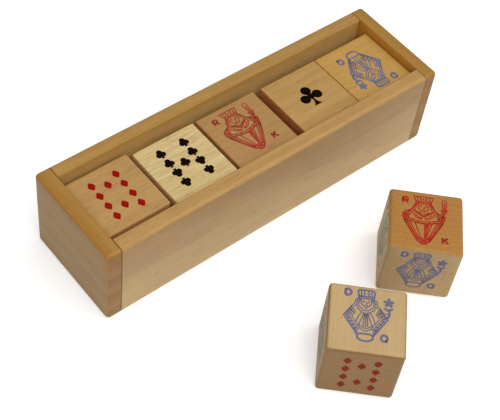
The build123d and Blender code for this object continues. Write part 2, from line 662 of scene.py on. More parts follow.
@dataclass(frozen=True)
class InkFinish:
    """A mark's ink, on all dice or on one: its display colour, and the one that it has where it is thin."""

    mark: Mark
    full: Display
    thin: Display
    wear: float = 0.6
    die: str = ANY_DIE
    surface: Surface = PRINT

    def material(self, effects: Effects) -> bpy.types.Material:
        """Make the ink's material.

        Args:
            effects: the shared node groups.

        Returns:
            The material.
        """
        sheet, shader, material = new_material(f"{self.mark.ink.value}.{self.mark.label}.{self.die}")
        values = {
            "Vector": sheet.add("TexCoord").outputs["Object"],
            "Ink": shade(self.full),
            "Thin ink": shade(self.thin),
            "Wear": self.wear,
        }
        inked = effects.ink.place(sheet, values)
        self.surface.put_on(sheet, shader, inked, inked["Height"])
        return material


@dataclass(frozen=True)
class Block:
    """A box-shaped piece of timber, the way that its fibres run and the way to the tray's inside.

    The heart, in millimetres, moves the middle of the tree's rings. A size of 0 stands for the size of the
    node's own box, and a turn is in degrees.
    """

    node: str
    finish: WoodFinish
    grain: Grain
    heart: Triple
    size: float = 0.0
    turn: float = 0.0
    inward: Triple = NOWHERE

    @property
    def angle(self) -> float:
        """The piece's turn about the vertical, in radians."""
        return math.radians(self.turn)

    @property
    def fibres(self) -> Vector:
        """The direction that the fibres run in."""
        return Matrix.Rotation(self.angle, 3, "Z") @ Vector(self.grain.axis)

    @property
    def lay(self) -> Euler:
        """The turn that lays the fibres along X."""
        return (Euler(self.grain.turn).to_matrix() @ Matrix.Rotation(-self.angle, 3, "Z")).to_euler()

    @property
    def centre(self) -> Vector:
        """The middle of the piece."""
        low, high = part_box(self.node)
        return (low + high) / 2

    @property
    def half_size(self) -> Vector:
        """Half of the piece's sides, before any turn."""
        low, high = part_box(self.node)
        return Vector((self.size * MM / 2,) * 3) if self.size else (high - low) / 2

    @property
    def reach(self) -> float:
        """How far the piece runs along its fibres, from its middle."""
        return Vector(self.grain.axis).dot(self.half_size)

    @property
    def depth(self) -> float:
        """How far the piece runs towards the tray's inside, from its middle."""
        return abs(Vector(self.inward).dot(self.half_size))

    def dress(self, effects: Effects) -> None:
        """Give the piece's node its timber.

        Args:
            effects: the shared node groups.
        """
        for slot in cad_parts[self.node].material_slots:
            slot.material = self.finish.material(effects, self)
        LOG.info("%s: %s", self.node, self.finish.slot)


@dataclass
class Tray:
    """The boards of the tray and the dowels that hold them."""

    boards: tuple[Block, ...]
    dowels: WoodFinish
    dowel_heart: Triple = (40.0, 18.0, 11.0)

    def dress(self, effects: Effects) -> None:
        """Give each board and each dowel its timber.

        Args:
            effects: the shared node groups.
        """
        for board in self.boards:
            board.dress(effects)
        along, *beside = self.dowel_heart
        names = sorted(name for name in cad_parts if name.startswith("dowel_"))
        for number, name in enumerate(names):
            Block(name, self.dowels, Grain.ALONG_X, (number * along, *beside)).dress(effects)


@dataclass(frozen=True)
class Line:
    """A line of ink through a few points, in millimetres; a paired line is repeated across the middle."""

    points: tuple[Point, ...]
    smooth: bool = True
    closed: bool = False
    paired: bool = False
    width: float = LINE_WIDTH

    def sides(self, middle: float) -> list[tuple[Point, ...]]:
        """The line's points, and those of its twin, for a figure whose middle is off the face's."""
        signs = (1, -1) if self.paired else (1,)
        return [tuple((middle + sign * x, y) for x, y in self.points) for sign in signs]

    def moved(self, place: Point) -> "Line":
        """The same line, moved to a place."""
        return replace(self, points=tuple((x + place[0], y + place[1]) for x, y in self.points))


def bow(*points: Point) -> Line:
    """A smooth line."""
    return Line(points)


def bows(*points: Point) -> Line:
    """A pair of smooth lines."""
    return Line(points, paired=True)


def rule(*points: Point) -> Line:
    """A line with straight runs."""
    return Line(points, smooth=False)


def rules(*points: Point) -> Line:
    """A pair of lines with straight runs."""
    return Line(points, smooth=False, paired=True)


def loop(*points: Point) -> Line:
    """A smooth line that closes on itself."""
    return Line(points, closed=True)


def plate(*points: Point) -> Line:
    """A line with straight runs that closes on itself."""
    return Line(points, smooth=False, closed=True)


def bold(line: Line) -> Line:
    """The same line, drawn thicker."""
    return replace(line, width=BOLD_WIDTH)


def spoke(length: float, turn: float) -> Point:
    """The end of a spoke of a given length, turned by some degrees from X."""
    return (length * math.cos(math.radians(turn)), length * math.sin(math.radians(turn)))


def blossom(place: Point, petals: int, reach: float, waist: float) -> Line:
    """Draw a flower as one closed outline, with its first petal upwards.

    Args:
        place: its middle.
        petals: how many petals it has.
        reach: how far the petals reach from the middle.
        waist: how far from the middle the petals part.

    Returns:
        The outline.
    """
    share = 360 / petals
    points = []
    for number in range(petals):
        turn = 90 + number * share
        points.append(spoke(reach, turn - share / 5))
        points.append(spoke(reach, turn + share / 5))
        points.append(spoke(waist, turn + share / 2))
    return loop(*points).moved(place)


@dataclass(frozen=True)
class Dot:
    """A round dot of ink, in millimetres; a paired dot is repeated across the middle."""

    x: float
    y: float
    radius: float
    paired: bool = False


GLYPHS = {
    "R": (
        rule((-1, -1.4), (-1, 1.4)),
        bow((-1, 1.4), (0.5, 1.35), (1, 0.75), (0.5, 0.1), (-1, 0)),
        rule((0, 0), (1.1, -1.4)),
    ),
    "K": (
        rule((-1, -1.4), (-1, 1.4)),
        rule((1.05, 1.4), (-0.9, -0.2)),
        rule((-0.2, 0.4), (1.1, -1.4)),
    ),
    "D": (
        rule((-1, -1.4), (-1, 1.4)),
        bow((-1, 1.4), (0.55, 1.15), (1.15, 0), (0.55, -1.15), (-1, -1.4)),
    ),
    "Q": (loop((0, 1.4), (1.2, 0), (0, -1.4), (-1.2, 0)), rule((0.3, -0.6), (1.2, -1.6))),
    "V": (rule((-1.1, 1.4), (0, -1.4), (1.1, 1.4)),),
    "J": (rule((0.7, 1.4), (0.7, -0.5)), bow((0.7, -0.5), (0.3, -1.3), (-0.5, -1.3), (-1, -0.6))),
}


@dataclass(frozen=True)
class Letter:
    """An index letter of a court figure, in millimetres."""

    text: str
    place: Point

    def lines(self) -> list[Line]:
        """The letter's strokes."""
        return [replace(line.moved(self.place), width=LETTER_WIDTH) for line in GLYPHS[self.text]]


@dataclass(frozen=True)
class CourtFigure:
    """A court figure: its lines, its solid spots, its dots and its index letters."""

    middle: float
    lines: tuple[Line, ...]
    spots: tuple[Line, ...]
    dots: tuple[Dot, ...]
    letters: tuple[Letter, ...]


KING = CourtFigure(
    middle=-1.2,
    lines=(
        bold(plate((-4, 12.1), (4, 12.1), (2.8, 8.7), (-2.8, 8.7))),
        rule((-3.1, 9.6), (3.1, 9.6)),
        rules((1.3, 12), (0.9, 9.7)),
        rules((2.7, 12), (2.1, 9.7)),
        bold(bows((2.9, 8.6), (3.9, 6.9), (4.6, 5.2), (6, 4.2))),
        bows((2.7, 8.4), (3.1, 6.6), (3.6, 4.9), (4.9, 3.6)),
        bows((2.1, 8.6), (2.1, 7), (1.5, 5.3), (0, 4.3)),
        bows((1.6, 7.3), (1.1, 7.6), (0.6, 7.3)),
        bow((0.1, 7.2), (0.35, 6.3), (-0.15, 6.2)),
        bow((-0.6, 5.5), (0, 5.35), (0.6, 5.5)),
        bold(rules((3.5, 4.5), (0, 1.7))),
        rules((2.2, 4.3), (0, 2.7)),
        bold(bows((5.6, 4.3), (7.4, 3.6), (8.3, 1.9), (7.9, 0.1))),
        bows((5.2, 3.8), (6.7, 3), (7.3, 1.7), (6.8, 0.4)),
        bows((4.7, 3.2), (5.9, 2.5), (6.3, 1.5), (5.7, 0.5)),
        rules((7.9, 2.8), (5.4, 2.3)),
        rules((8.1, 1.8), (5.6, 1.5)),
        rules((8, 0.9), (5.6, 0.8)),
        bows((4.4, 3.4), (3.2, 1.6), (0.6, 0.4)),
        bows((3.4, 3.2), (2.2, 1.7), (0.4, 0.9)),
        bold(bow((-7.9, 0.1), (0, -1.6), (7.9, 0.1))),
        bow((-6.6, 0.8), (0, -0.6), (6.6, 0.8)),
        rules((2.2, -0.2), (2.4, -1.3)),
        rules((4.4, 0.2), (4.7, -0.9)),
        bold(rules((7.9, -0.1), (5.6, -4.6), (2.4, -10.2))),
        rules((6.8, -0.4), (4.6, -4.9), (1.9, -9.7)),
        rules((5.7, -0.7), (3.6, -5.2), (1.5, -9.4)),
        rules((3.4, -1.2), (1, -9)),
        bold(bow((-2.4, -10.2), (0, -11.7), (2.4, -10.2))),
        bow((-2, -9.6), (0, -8.8), (2, -9.6)),
        bold(rule((7.6, 0.8), (8.2, 5.2))),
        bow((6.9, 2.6), (7.9, 3.3), (8.9, 2.7), (8.5, 1.6)),
        rule((7, 4.5), (9.3, 4.8)),
        loop((8.4, 7), (7.6, 8.7), (8.4, 11.8), (9.2, 8.9)),
        rule((8.4, 7.2), (8.4, 10)),
    ),
    spots=(
        loop((-8.1, 2.3), (-6.8, 3), (-5.8, 1.7), (-7, 0.5)),
        plate((0.3, -1.7), (2.5, -1.5), (1.2, -8.7), (0.2, -8.8)),
        loop((8.2, 4.9), (7, 5.6), (7.2, 7), (8.3, 6.7), (9.4, 7.2), (9.6, 5.8)),
        loop((-1.4, -9.8), (0, -9.3), (1.4, -9.8), (0, -11.1)),
    ),
    dots=(
        Dot(1.1, 6.9, 0.28, paired=True),
        Dot(0, 10.8, 0.5),
        Dot(1.5, 9.15, 0.28, paired=True),
        Dot(0, 9.15, 0.28),
        Dot(6.7, -1.7, 0.3, paired=True),
        Dot(5, -4.9, 0.3, paired=True),
    ),
    letters=(Letter("R", (-8.6, 9.5)), Letter("K", (7.5, -8.9))),
)

QUEEN = CourtFigure(
    middle=-0.7,
    lines=(
        bold(plate((-2.9, 9.1), (-3.2, 12.3), (-2.6, 12.9), (2.6, 12.9), (3.2, 12.3), (2.9, 9.1))),
        bold(rule((-3, 10), (3, 10))),
        rules((2.1, 12.8), (1.9, 10.1)),
        rules((0.8, 12.8), (0.7, 10.1)),
        bows((2.9, 9.1), (4, 8.2), (4.3, 6.6), (5.3, 5.4)),
        bows((2.6, 8.9), (3.4, 7.7), (3.6, 6.2), (4.5, 5)),
        bows((2.3, 8.8), (2.8, 7.3), (2.9, 5.9), (3.6, 4.8)),
        bows((1.9, 9), (2, 7.4), (1.3, 5.9), (0, 5.1)),
        bows((1.5, 7.7), (1, 8), (0.5, 7.7)),
        bow((0.1, 7.5), (0.3, 6.8), (-0.2, 6.7)),
        bow((-0.55, 6.1), (0, 5.95), (0.55, 6.1)),
        bow((-2.7, 5.3), (0, 3.6), (2.7, 5.3)),
        bow((-3.4, 4.4), (0, 2.5), (3.4, 4.4)),
        bold(rules((5.2, 5.2), (8.3, 0.7), (3, -7.2))),
        rules((4.6, 4.5), (7.3, 0.7), (2.8, -6.2)),
        rules((4.2, 3.6), (6.3, 0.7), (2.5, -5.2)),
        rules((3.8, 2.8), (5.3, 0.7), (2.2, -4.2)),
        rules((7.6, 1.5), (6.4, 0.4)),
        rules((6.9, 2.5), (5.6, 1.4)),
        rules((6.1, 3.6), (4.9, 2.5)),
        rules((7.3, -0.6), (5.9, -0.2)),
        rules((6.4, -2), (5.1, -1.5)),
        rules((5.4, -3.5), (4.2, -2.9)),
        rules((4.4, -5), (3.2, -4.3)),
        bows((0.8, 2.6), (1.6, -0.2), (2.6, -2.9)),
        bows((1.7, 2.7), (2.9, 0.5), (3.6, -1.7)),
        rules((0.5, 2.3), (0.9, -3.5)),
        rule((0, 2.2), (0, -3.7)),
        bow((-2.6, -2.9), (0, -4.2), (2.6, -2.9)),
        bow((-2.4, -4.2), (0, -5.3), (2.4, -4.2)),
        bold(loop((-3, -7.7), (0, -6.6), (3, -7.7), (0, -9.8))),
        bold(bow((7.9, 1.2), (8.9, 2.7), (8.5, 5.6))),
        bow((6.9, 2.8), (7.7, 3.5), (8.5, 2.9), (8, 1.9)),
    ),
    spots=(
        loop((8.4, 4.6), (7.2, 5), (6.8, 6), (8, 5.7)),
        loop((8.7, 4.8), (9.8, 5.1), (10.2, 6.1), (9, 5.8)),
        blossom((8.5, 8.4), 5, 2, 1.3),
    ),
    dots=(
        Dot(1, 7.3, 0.26, paired=True),
        Dot(1.4, 11.4, 0.3, paired=True),
        Dot(0, 11.4, 0.3),
        Dot(0, 4.5, 0.35),
    ),
    letters=(Letter("D", (-7.7, 11.2)), Letter("Q", (6.5, -7.6))),
)

JACK = CourtFigure(
    middle=-0.8,
    lines=(
        bow((-3.4, 9.2), (-4.1, 10.8), (-1.6, 12.4), (2.2, 12.2), (4, 10.6), (3.4, 9.2)),
        bow((-3.4, 9.2), (0, 8.5), (3.4, 9.2)),
        bow((-3.6, 9.9), (0, 9.3), (3.6, 9.9)),
        bow((2.6, 10.4), (5.2, 12.6), (7.4, 11.7), (5.4, 11.3), (2.8, 9.9)),
        bows((3.2, 8.9), (3.9, 6.9), (3.4, 5), (4.5, 4.6)),
        bows((2.5, 8.8), (2.8, 6.9), (2.5, 5.2)),
        bows((2.1, 8.6), (2.2, 6.6), (1.4, 4.9), (0, 4.2)),
        bows((1.7, 7.3), (1.1, 7.6), (0.5, 7.3)),
        bow((0.1, 7.2), (0.4, 6.3), (-0.2, 6.2)),
        bow((-0.6, 5.4), (0, 5.2), (0.6, 5.4)),
        rules((0, 3.4), (1.5, 4.2), (2.2, 3), (3.6, 3.6), (4, 2.2)),
        bows((4, 3.3), (6.6, 2.4), (8.4, 0.2)),
        rules((8.4, 0.2), (6.7, -1.2), (2.6, -9)),
        rule((-2.6, -9), (0, -10.6), (2.6, -9)),
        rules((0.8, 2.8), (0.8, -8.8)),
        rules((2.4, 2.6), (2.3, -8.2)),
        rules((4.3, 1.8), (3.9, -5.8)),
        rules((6, 1.9), (5.4, -2.8)),
        bow((-5.9, -2.6), (0, -4.2), (5.9, -2.6)),
        bow((-5.4, -3.7), (0, -5.2), (5.4, -3.7)),
        rule((8.3, -3.6), (8.7, 9.4)),
        bow((7.4, 0.2), (8.4, 1.2), (9.3, 0.6), (8.8, -0.5), (7.9, -0.5)),
    ),
    spots=(plate((8.7, 9.2), (7.6, 7.4), (8.9, 12.3), (9.9, 7.6)),),
    dots=(
        Dot(1.1, 6.95, 0.27, paired=True),
        Dot(0, 1.6, 0.3),
        Dot(0, -0.2, 0.3),
        Dot(0, -2, 0.3),
        Dot(0, -6.6, 0.3),
        Dot(-2.6, 11.2, 0.5),
    ),
    letters=(Letter("V", (-8, 10.6)), Letter("J", (6.9, -8.2))),
)

COURT = {Mark.KING: KING, Mark.QUEEN: QUEEN, Mark.JACK: JACK}


@dataclass(frozen=True)
class ClubShape:
    """A club of unit height: its lobes, the ends of their arcs and its stem. Turns are in degrees."""

    lobe: float
    spread: float
    reach: float
    stem_reach: float
    crease: float
    turns: Triple
    stem: tuple[Point, ...]
    arc_steps: int = 14

    def outline(self) -> list[Point]:
        """Run round the club from the foot of its stem, with a crease before each lobe but the first.

        Returns:
            The outline's points.
        """
        ends = ((-self.stem_reach, self.reach), (-self.reach, self.reach), (-self.reach, self.stem_reach))
        points = [(-x, y) for x, y in reversed(self.stem)]
        for number, (turn, (start, end)) in enumerate(zip(self.turns, ends)):
            if number > 0:
                points.append(spoke(self.crease, (self.turns[number - 1] + turn) / 2))
            middle = spoke(self.spread, turn)
            for step in range(self.arc_steps + 1):
                x, y = spoke(self.lobe, turn + start + (end - start) * step / self.arc_steps)
                points.append((middle[0] + x, middle[1] + y))
        return points + list(self.stem)


PIP_CLUB = ClubShape(
    lobe=0.255,
    spread=0.21,
    reach=92,
    stem_reach=84,
    crease=0.305,
    turns=(-24, 90, 204),
    stem=((-0.10, -0.335), (-0.11, -0.39), (-0.14, -0.45), (-0.19, -0.49)),
)
ACE_CLUB = ClubShape(
    lobe=0.205,
    spread=0.285,
    reach=148,
    stem_reach=150,
    crease=0.10,
    turns=(-11, 90, 191),
    stem=((-0.035, -0.19), (-0.055, -0.30), (-0.10, -0.41), (-0.19, -0.5)),
)


def stands_up(edge: bmesh.types.BMEdge) -> bool:
    """Whether an edge runs from a disc's underside to its top."""
    return abs(edge.verts[1].co.z - edge.verts[0].co.z) > INK_DEPTH


class InkPress:
    """Prints one face's mark on a plane, in millimetres, with the face's middle at the origin."""

    def __init__(self, name: str) -> None:
        """Start with no ink on the face."""
        self.name = name
        self.ink = bmesh.new()

    def take(self, data: bpy.types.Curve, seat: Matrix) -> None:
        """Make a curve a mesh and add it to the face.

        Args:
            data: the curve, which is used up.
            seat: where it goes.
        """
        holder = bpy.data.objects.new(self.name, data)
        mesh = bpy.data.meshes.new_from_object(holder)
        shell = bmesh.new()
        shell.from_mesh(mesh)
        bmesh.ops.remove_doubles(shell, verts=shell.verts, dist=MERGE_GAP)
        shell.to_mesh(mesh)
        shell.free()
        mesh.transform(seat)
        self.ink.from_mesh(mesh)
        bpy.data.objects.remove(holder)
        bpy.data.curves.remove(data)
        bpy.data.meshes.remove(mesh)

    def spline(self, curve: bpy.types.Curve, line: Line, points: tuple[Point, ...], radius: float) -> None:
        """Add a line to a curve.

        Args:
            curve: the curve.
            line: whether the line is smooth and closed.
            points: where it runs.
            radius: what the curve's thickness is multiplied by.
        """
        spline = curve.splines.new("BEZIER")
        spline.bezier_points.add(len(points) - 1)
        handle = "AUTO" if line.smooth else "VECTOR"
        for knot, (x, y) in zip(spline.bezier_points, points):
            knot.co = (x, y, 0.0)
            knot.radius = radius
            knot.handle_left_type = handle
            knot.handle_right_type = handle
        spline.use_cyclic_u = line.closed

    def rule_lines(self, lines: Iterable[Line], middle: float = 0.0) -> None:
        """Print lines as thin ribbons with rounded backs.

        Args:
            lines: the lines.
            middle: how far their figure's middle is from the face's.
        """
        curve = bpy.data.curves.new(self.name, "CURVE")
        curve.dimensions = "3D"
        curve.bevel_depth = 1.0
        curve.bevel_resolution = LINE_ROUNDNESS
        curve.use_fill_caps = True
        curve.resolution_u = LINE_STEPS
        for line in lines:
            for points in line.sides(middle):
                self.spline(curve, line, points, line.width / 2)
        self.take(curve, Matrix.Diagonal((1.0, 1.0, LINE_FLATNESS, 1.0)))

    def fill_spots(self, spots: Iterable[Line], middle: float = 0.0) -> None:
        """Print closed outlines as solid spots.

        Args:
            spots: the outlines.
            middle: how far their figure's middle is from the face's.
        """
        curve = bpy.data.curves.new(self.name, "CURVE")
        curve.dimensions = "2D"
        curve.fill_mode = "BOTH"
        curve.extrude = INK_DEPTH
        curve.resolution_u = SPOT_STEPS
        for spot in spots:
            for points in spot.sides(middle):
                self.spline(curve, spot, points, 1.0)
        self.take(curve, Matrix.Identity(4))

    def disc(self, place: Point, width: float, height: float, corners: int) -> list[bmesh.types.BMVert]:
        """Print a flat disc, which has four corners for a diamond.

        Args:
            place: its middle.
            width: its size across.
            height: its size upwards.
            corners: the number of its corners.

        Returns:
            The disc's vertices.
        """
        made = bmesh.ops.create_cone(
            self.ink,
            cap_ends=True,
            segments=corners,
            radius1=1.0,
            radius2=1.0,
            depth=2 * INK_DEPTH,
            matrix=Matrix.Translation((*place, 0.0)) @ Matrix.Diagonal((width / 2, height / 2, 1.0, 1.0)),
        )
        return made["verts"]

    def diamond(self, place: Point, width: float, height: float, rounding: float) -> None:
        """Print a diamond with rounded corners.

        Args:
            place: its middle.
            width: its size across, before its corners are rounded.
            height: its size upwards, before its corners are rounded.
            rounding: how far from each corner the rounding starts.
        """
        corners = self.disc(place, width, height, DIAMOND_CORNERS)
        edges = dict.fromkeys(edge for corner in corners for edge in corner.link_edges)
        bmesh.ops.bevel(
            self.ink,
            geom=[edge for edge in edges if stands_up(edge)],
            offset=rounding,
            affect="EDGES",
            segments=ROUNDING_STEPS,
            profile=0.5,
            material=-1,
        )

    def dot(self, dot: Dot, middle: float) -> None:
        """Print a dot, and its twin if it is paired, in a figure whose middle is off the face's."""
        for sign in (1, -1) if dot.paired else (1,):
            self.disc((middle + sign * dot.x, dot.y), 2 * dot.radius, 2 * dot.radius, DOT_CORNERS)

    def club(self, shape: ClubShape, size: float, place: Point = (0, 0), inverted: bool = False) -> None:
        """Print a club of a given height in one outline, with its stem up if it is inverted."""
        scale = -size if inverted else size
        self.fill_spots([plate(*((scale * x, scale * y) for x, y in shape.outline())).moved(place)])

    def court(self, figure: CourtFigure) -> None:
        """Print a court figure.

        Args:
            figure: the figure.
        """
        self.rule_lines(figure.lines, figure.middle)
        self.fill_spots(figure.spots, figure.middle)
        for dot in figure.dots:
            self.dot(dot, figure.middle)
        for letter in figure.letters:
            self.rule_lines(letter.lines())

    def finish(self) -> bpy.types.Mesh:
        """Turn the ink's shells the right way out.

        Returns:
            The face's ink, as a mesh.
        """
        bmesh.ops.recalc_face_normals(self.ink, faces=self.ink.faces)
        mesh = bpy.data.meshes.new(self.name)
        self.ink.to_mesh(mesh)
        self.ink.free()
        return mesh


@dataclass
class MarkSet:
    """The pips' sizes, and half the steps between their columns and rows, in millimetres."""

    column: float = 5.7
    row: float = 2.85
    diamond_width: float = 3.6
    diamond_height: float = 4.8
    diamond_rounding: float = 0.75
    pip_club: float = 4.9
    ace_club: float = 11.2

    def columns(self) -> list[Point]:
        """The places of two upright columns of four pips."""
        return [(x * self.column, y * self.row) for x in (-1, 1) for y in (-3, -1, 1, 3)]

    def print_mark(self, mark: Mark) -> bpy.types.Mesh:
        """Print one mark.

        Args:
            mark: the mark.

        Returns:
            Its mesh, in millimetres, with the face's middle at the origin.
        """
        press = InkPress(f"{mark.label}_mark")
        if mark is Mark.ACE:
            press.club(ACE_CLUB, self.ace_club)
        elif mark is Mark.NINE:
            for place in self.columns():
                press.club(PIP_CLUB, self.pip_club, place, inverted=place[1] < 0)
            press.club(PIP_CLUB, self.pip_club)
        elif mark is Mark.TEN:
            for place in [*self.columns(), (0, -2 * self.row), (0, 2 * self.row)]:
                press.diamond(place, self.diamond_width, self.diamond_height, self.diamond_rounding)
        else:
            press.court(COURT[mark])
        return press.finish()


# The way that each face points on a die with its king on top, and the way to the top of its print
FACES = {
    Mark.KING: (UP, BACK),
    Mark.QUEEN: (FRONT, UP),
    Mark.TEN: (DOWN, FRONT),
    Mark.ACE: (BACK, DOWN),
    Mark.NINE: (RIGHT, UP),
    Mark.JACK: (LEFT, UP),
}


def face_axes(outward: Triple, upward: Triple) -> Matrix:
    """The turn from a print's own axes to a face's, by the ways that the face and the print point."""
    out, up = Vector(outward), Vector(upward)
    return Matrix((up.cross(out), up, out)).transposed()


@dataclass(frozen=True)
class PrintShop:
    """The marks' meshes and their inks' materials."""

    marks: dict[Mark, bpy.types.Mesh]
    inks: dict[tuple[Mark, str], bpy.types.Material]

    def ink(self, mark: Mark, die: str) -> bpy.types.Material:
        """A mark's ink on a die: the die's own, or else the one that all dice share."""
        return self.inks.get((mark, die), self.inks[mark, ANY_DIE])


@dataclass(frozen=True)
class Die:
    """A die: its block, the mark that lies on top and the way that mark's top points."""

    block: Block
    top: Mark
    upward: Triple = BACK

    def face_seat(self, mark: Mark) -> Matrix:
        """Find where a face's print goes.

        Args:
            mark: the face's mark.

        Returns:
            The placing of the print, from its own millimetres to metres on the die.
        """
        roll = face_axes(UP, self.upward) @ face_axes(*FACES[self.top]).transposed()
        turn = Matrix.Rotation(self.block.angle, 4, "Z") @ (roll @ face_axes(*FACES[mark])).to_4x4()
        lift = Matrix.Translation((0, 0, (DIE_SIZE / 2 - INK_SINK) * MM))
        return Matrix.Translation(self.block.centre) @ turn @ lift @ Matrix.Scale(MM, 4)

    def print_faces(self, shop: PrintShop) -> None:
        """Print the die's six faces, as one piece for each.

        Args:
            shop: the marks and their inks.
        """
        name = self.block.node
        for mark in Mark:
            label = f"{name}_{mark.label}_print"
            mesh = shop.marks[mark].copy()
            mesh.name = label
            mesh.transform(self.face_seat(mark))
            mesh.materials.append(shop.ink(mark, name))
            piece = bpy.data.objects.new(label, mesh)
            bpy.context.scene.collection.objects.link(piece)
            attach(piece, name)
            LOG.info("%s: %d faces", label, len(mesh.polygons))


@dataclass
class DiceSet:
    """The row of dice in the tray and the dice in front of it."""

    dice: tuple[Die, ...]
    inks: tuple[InkFinish, ...]
    marks: MarkSet = field(default_factory=MarkSet)

    def build(self, effects: Effects) -> None:
        """Dress the dice and print their faces.

        Args:
            effects: the shared node groups.
        """
        shop = PrintShop(
            {mark: self.marks.print_mark(mark) for mark in Mark},
            {(finish.mark, finish.die): finish.material(effects) for finish in self.inks},
        )
        for die in self.dice:
            die.block.dress(effects)
            die.print_faces(shop)
        for mesh in shop.marks.values():
            bpy.data.meshes.remove(mesh)


@dataclass(frozen=True)
class SoftLight:
    """A square soft light that points at the object. Lengths are in metres and power in watts."""

    name: str
    place: Triple
    size: float
    power: float
    aim: Triple = (0.0, -0.02, 0.02)

    def build(self) -> None:
        """Put up the light."""
        lamp = bpy.data.lights.new(self.name, "AREA")
        lamp.shape = "SQUARE"
        lamp.size = self.size
        lamp.energy = self.power
        light = bpy.data.objects.new(self.name, lamp)
        light.location = self.place
        light.rotation_mode = "QUATERNION"
        light.rotation_quaternion = (Vector(self.aim) - Vector(self.place)).to_track_quat("-Z", "Y")
        bpy.context.scene.collection.objects.link(light)
        LOG.info("%s", self.name)


@dataclass
class Studio:
    """A pale floor, soft light and the camera. Lengths are in metres and angles in degrees."""

    floor_size: float = 3.0
    floor_drop: float = 0.0001
    floor_tones: tuple[Colour, Colour] = ((0.95, 0.95, 0.95, 1.0), (0.98, 0.98, 0.98, 1.0))
    floor_noise: Noise = Noise((30, 30, 30))
    floor_roughness: float = 0.9
    floor_glow: float = 0.3
    sky_strength: float = 0.35
    camera_place: Triple = (-0.234078, -0.237631, 0.404321)
    camera_azimuth: float = -45.715
    camera_elevation: float = 51.603
    camera_roll: float = 8.607
    camera_lens: float = 87.35
    camera_sensor: float = 36.0
    camera_range: Point = (0.01, 20.0)
    lights: tuple[SoftLight, ...] = (
        SoftLight("key_light", (0.38, -0.40, 1.15), 1.4, 9.1),
        SoftLight("fill_light", (-0.45, -0.55, 0.80), 0.8, 4.6),
    )

    def build(self) -> None:
        """Lay the floor, put up the lights and place the camera."""
        self.lay_floor()
        self.light_sky()
        for light in self.lights:
            light.build()
        self.place_camera()
        bpy.context.scene.view_settings.view_transform = "Standard"

    def lay_floor(self) -> None:
        """Lay the pale floor."""
        grid = bmesh.new()
        bmesh.ops.create_grid(grid, x_segments=1, y_segments=1, size=self.floor_size / 2)
        bmesh.ops.translate(grid, verts=grid.verts, vec=(0, 0, -self.floor_drop))
        mesh = bpy.data.meshes.new("studio_floor")
        grid.to_mesh(mesh)
        grid.free()
        sheet, shader, material = new_material("studio_floor")
        tone = sheet.grey(sheet.add("TexCoord").outputs["Object"], self.floor_noise)
        sheet.feed(shader.inputs["Base Color"], sheet.blend(tone, *self.floor_tones))
        shader.inputs["Roughness"].default_value = self.floor_roughness
        shader.inputs["Emission Color"].default_value = WHITE
        shader.inputs["Emission Strength"].default_value = self.floor_glow
        mesh.materials.append(material)
        floor = bpy.data.objects.new("studio_floor", mesh)
        bpy.context.scene.collection.objects.link(floor)
        LOG.info("studio_floor")

    def light_sky(self) -> None:
        """Light the scene evenly from all round."""
        world = bpy.data.worlds.new("studio_sky")
        world.use_nodes = True
        background = world.node_tree.nodes["Background"]
        background.inputs["Color"].default_value = WHITE
        background.inputs["Strength"].default_value = self.sky_strength
        bpy.context.scene.world = world

    def place_camera(self) -> None:
        """Place the camera at the photograph's viewing angle."""
        azimuth = math.radians(self.camera_azimuth)
        elevation = math.radians(self.camera_elevation)
        level = math.cos(elevation)
        back = Vector((math.sin(azimuth) * level, -math.cos(azimuth) * level, math.sin(elevation)))
        data = bpy.data.cameras.new("camera")
        data.sensor_width = self.camera_sensor
        data.lens = self.camera_lens
        data.clip_start, data.clip_end = self.camera_range
        camera = bpy.data.objects.new("camera", data)
        camera.location = self.camera_place
        camera.rotation_mode = "QUATERNION"
        roll = Quaternion(UP, math.radians(self.camera_roll))
        camera.rotation_quaternion = (-back).to_track_quat("-Z", "Y") @ roll
        bpy.context.scene.collection.objects.link(camera)
        bpy.context.scene.camera = camera
        LOG.info("camera")


# Painted light and shade for a row die's face that looks into the gap beside it: warmer and redder, like
# bounce light in the gap
GAP_SHADING_TINT = (1.3, 0.95, 0.75)
# Painted highlight: the row dice's rounded edges are drawn lighter than their faces
DICE_EDGE_HIGHLIGHT = (1.12, 1.1, 1.05)
BOARD_EDGE = (0.95, 0.88, 0.76)

# Painted light: the wall's top is lighter as lit from above, its lower part lighter and bluer towards the
# foot, and its inner face lighter
WALL_WOOD = WoodFinish(
    slot="wall_wood",
    light=(160, 129, 79),
    dark=(142, 107, 61),
    fleck=(110, 76, 42),
    upper_tint=(1.5, 1.46, 1.4),
    edge_tint=BOARD_EDGE,
    foot_tint=(1.41, 1.63, 2.1),
    inside_tint=(1.55, 1.48, 1.22),
    joint_tint=(0.45, 0.34, 0.24),
    ring_width=4.0,
)
# Painted light: the back wall's top is lighter and warmer, its inner face lighter, and its lighter, bluer
# foot starts a little under its top, which lifts the shade on its inner face
BACK_WOOD = replace(WALL_WOOD, upper_tint=(1.37, 1.28, 0.96), lit_foot_fade=0.3)
# Painted light: the end panel's top is lighter and warmer as lit from above, and its lower part bluer and a
# little lighter towards the foot
END_WOOD = WoodFinish(
    slot="end_wood",
    light=(151, 115, 60),
    dark=(132, 95, 45),
    fleck=(100, 70, 40),
    end_tint=(0.93, 0.79, 0.6),
    upper_tint=(1.38, 1.33, 1.0),
    edge_tint=BOARD_EDGE,
    foot_tint=(1.0, 1.13, 1.42),
    brow_tint=(0.97, 0.87, 0.66),
    ring_width=11.0,
    ring_strength=0.2,
)
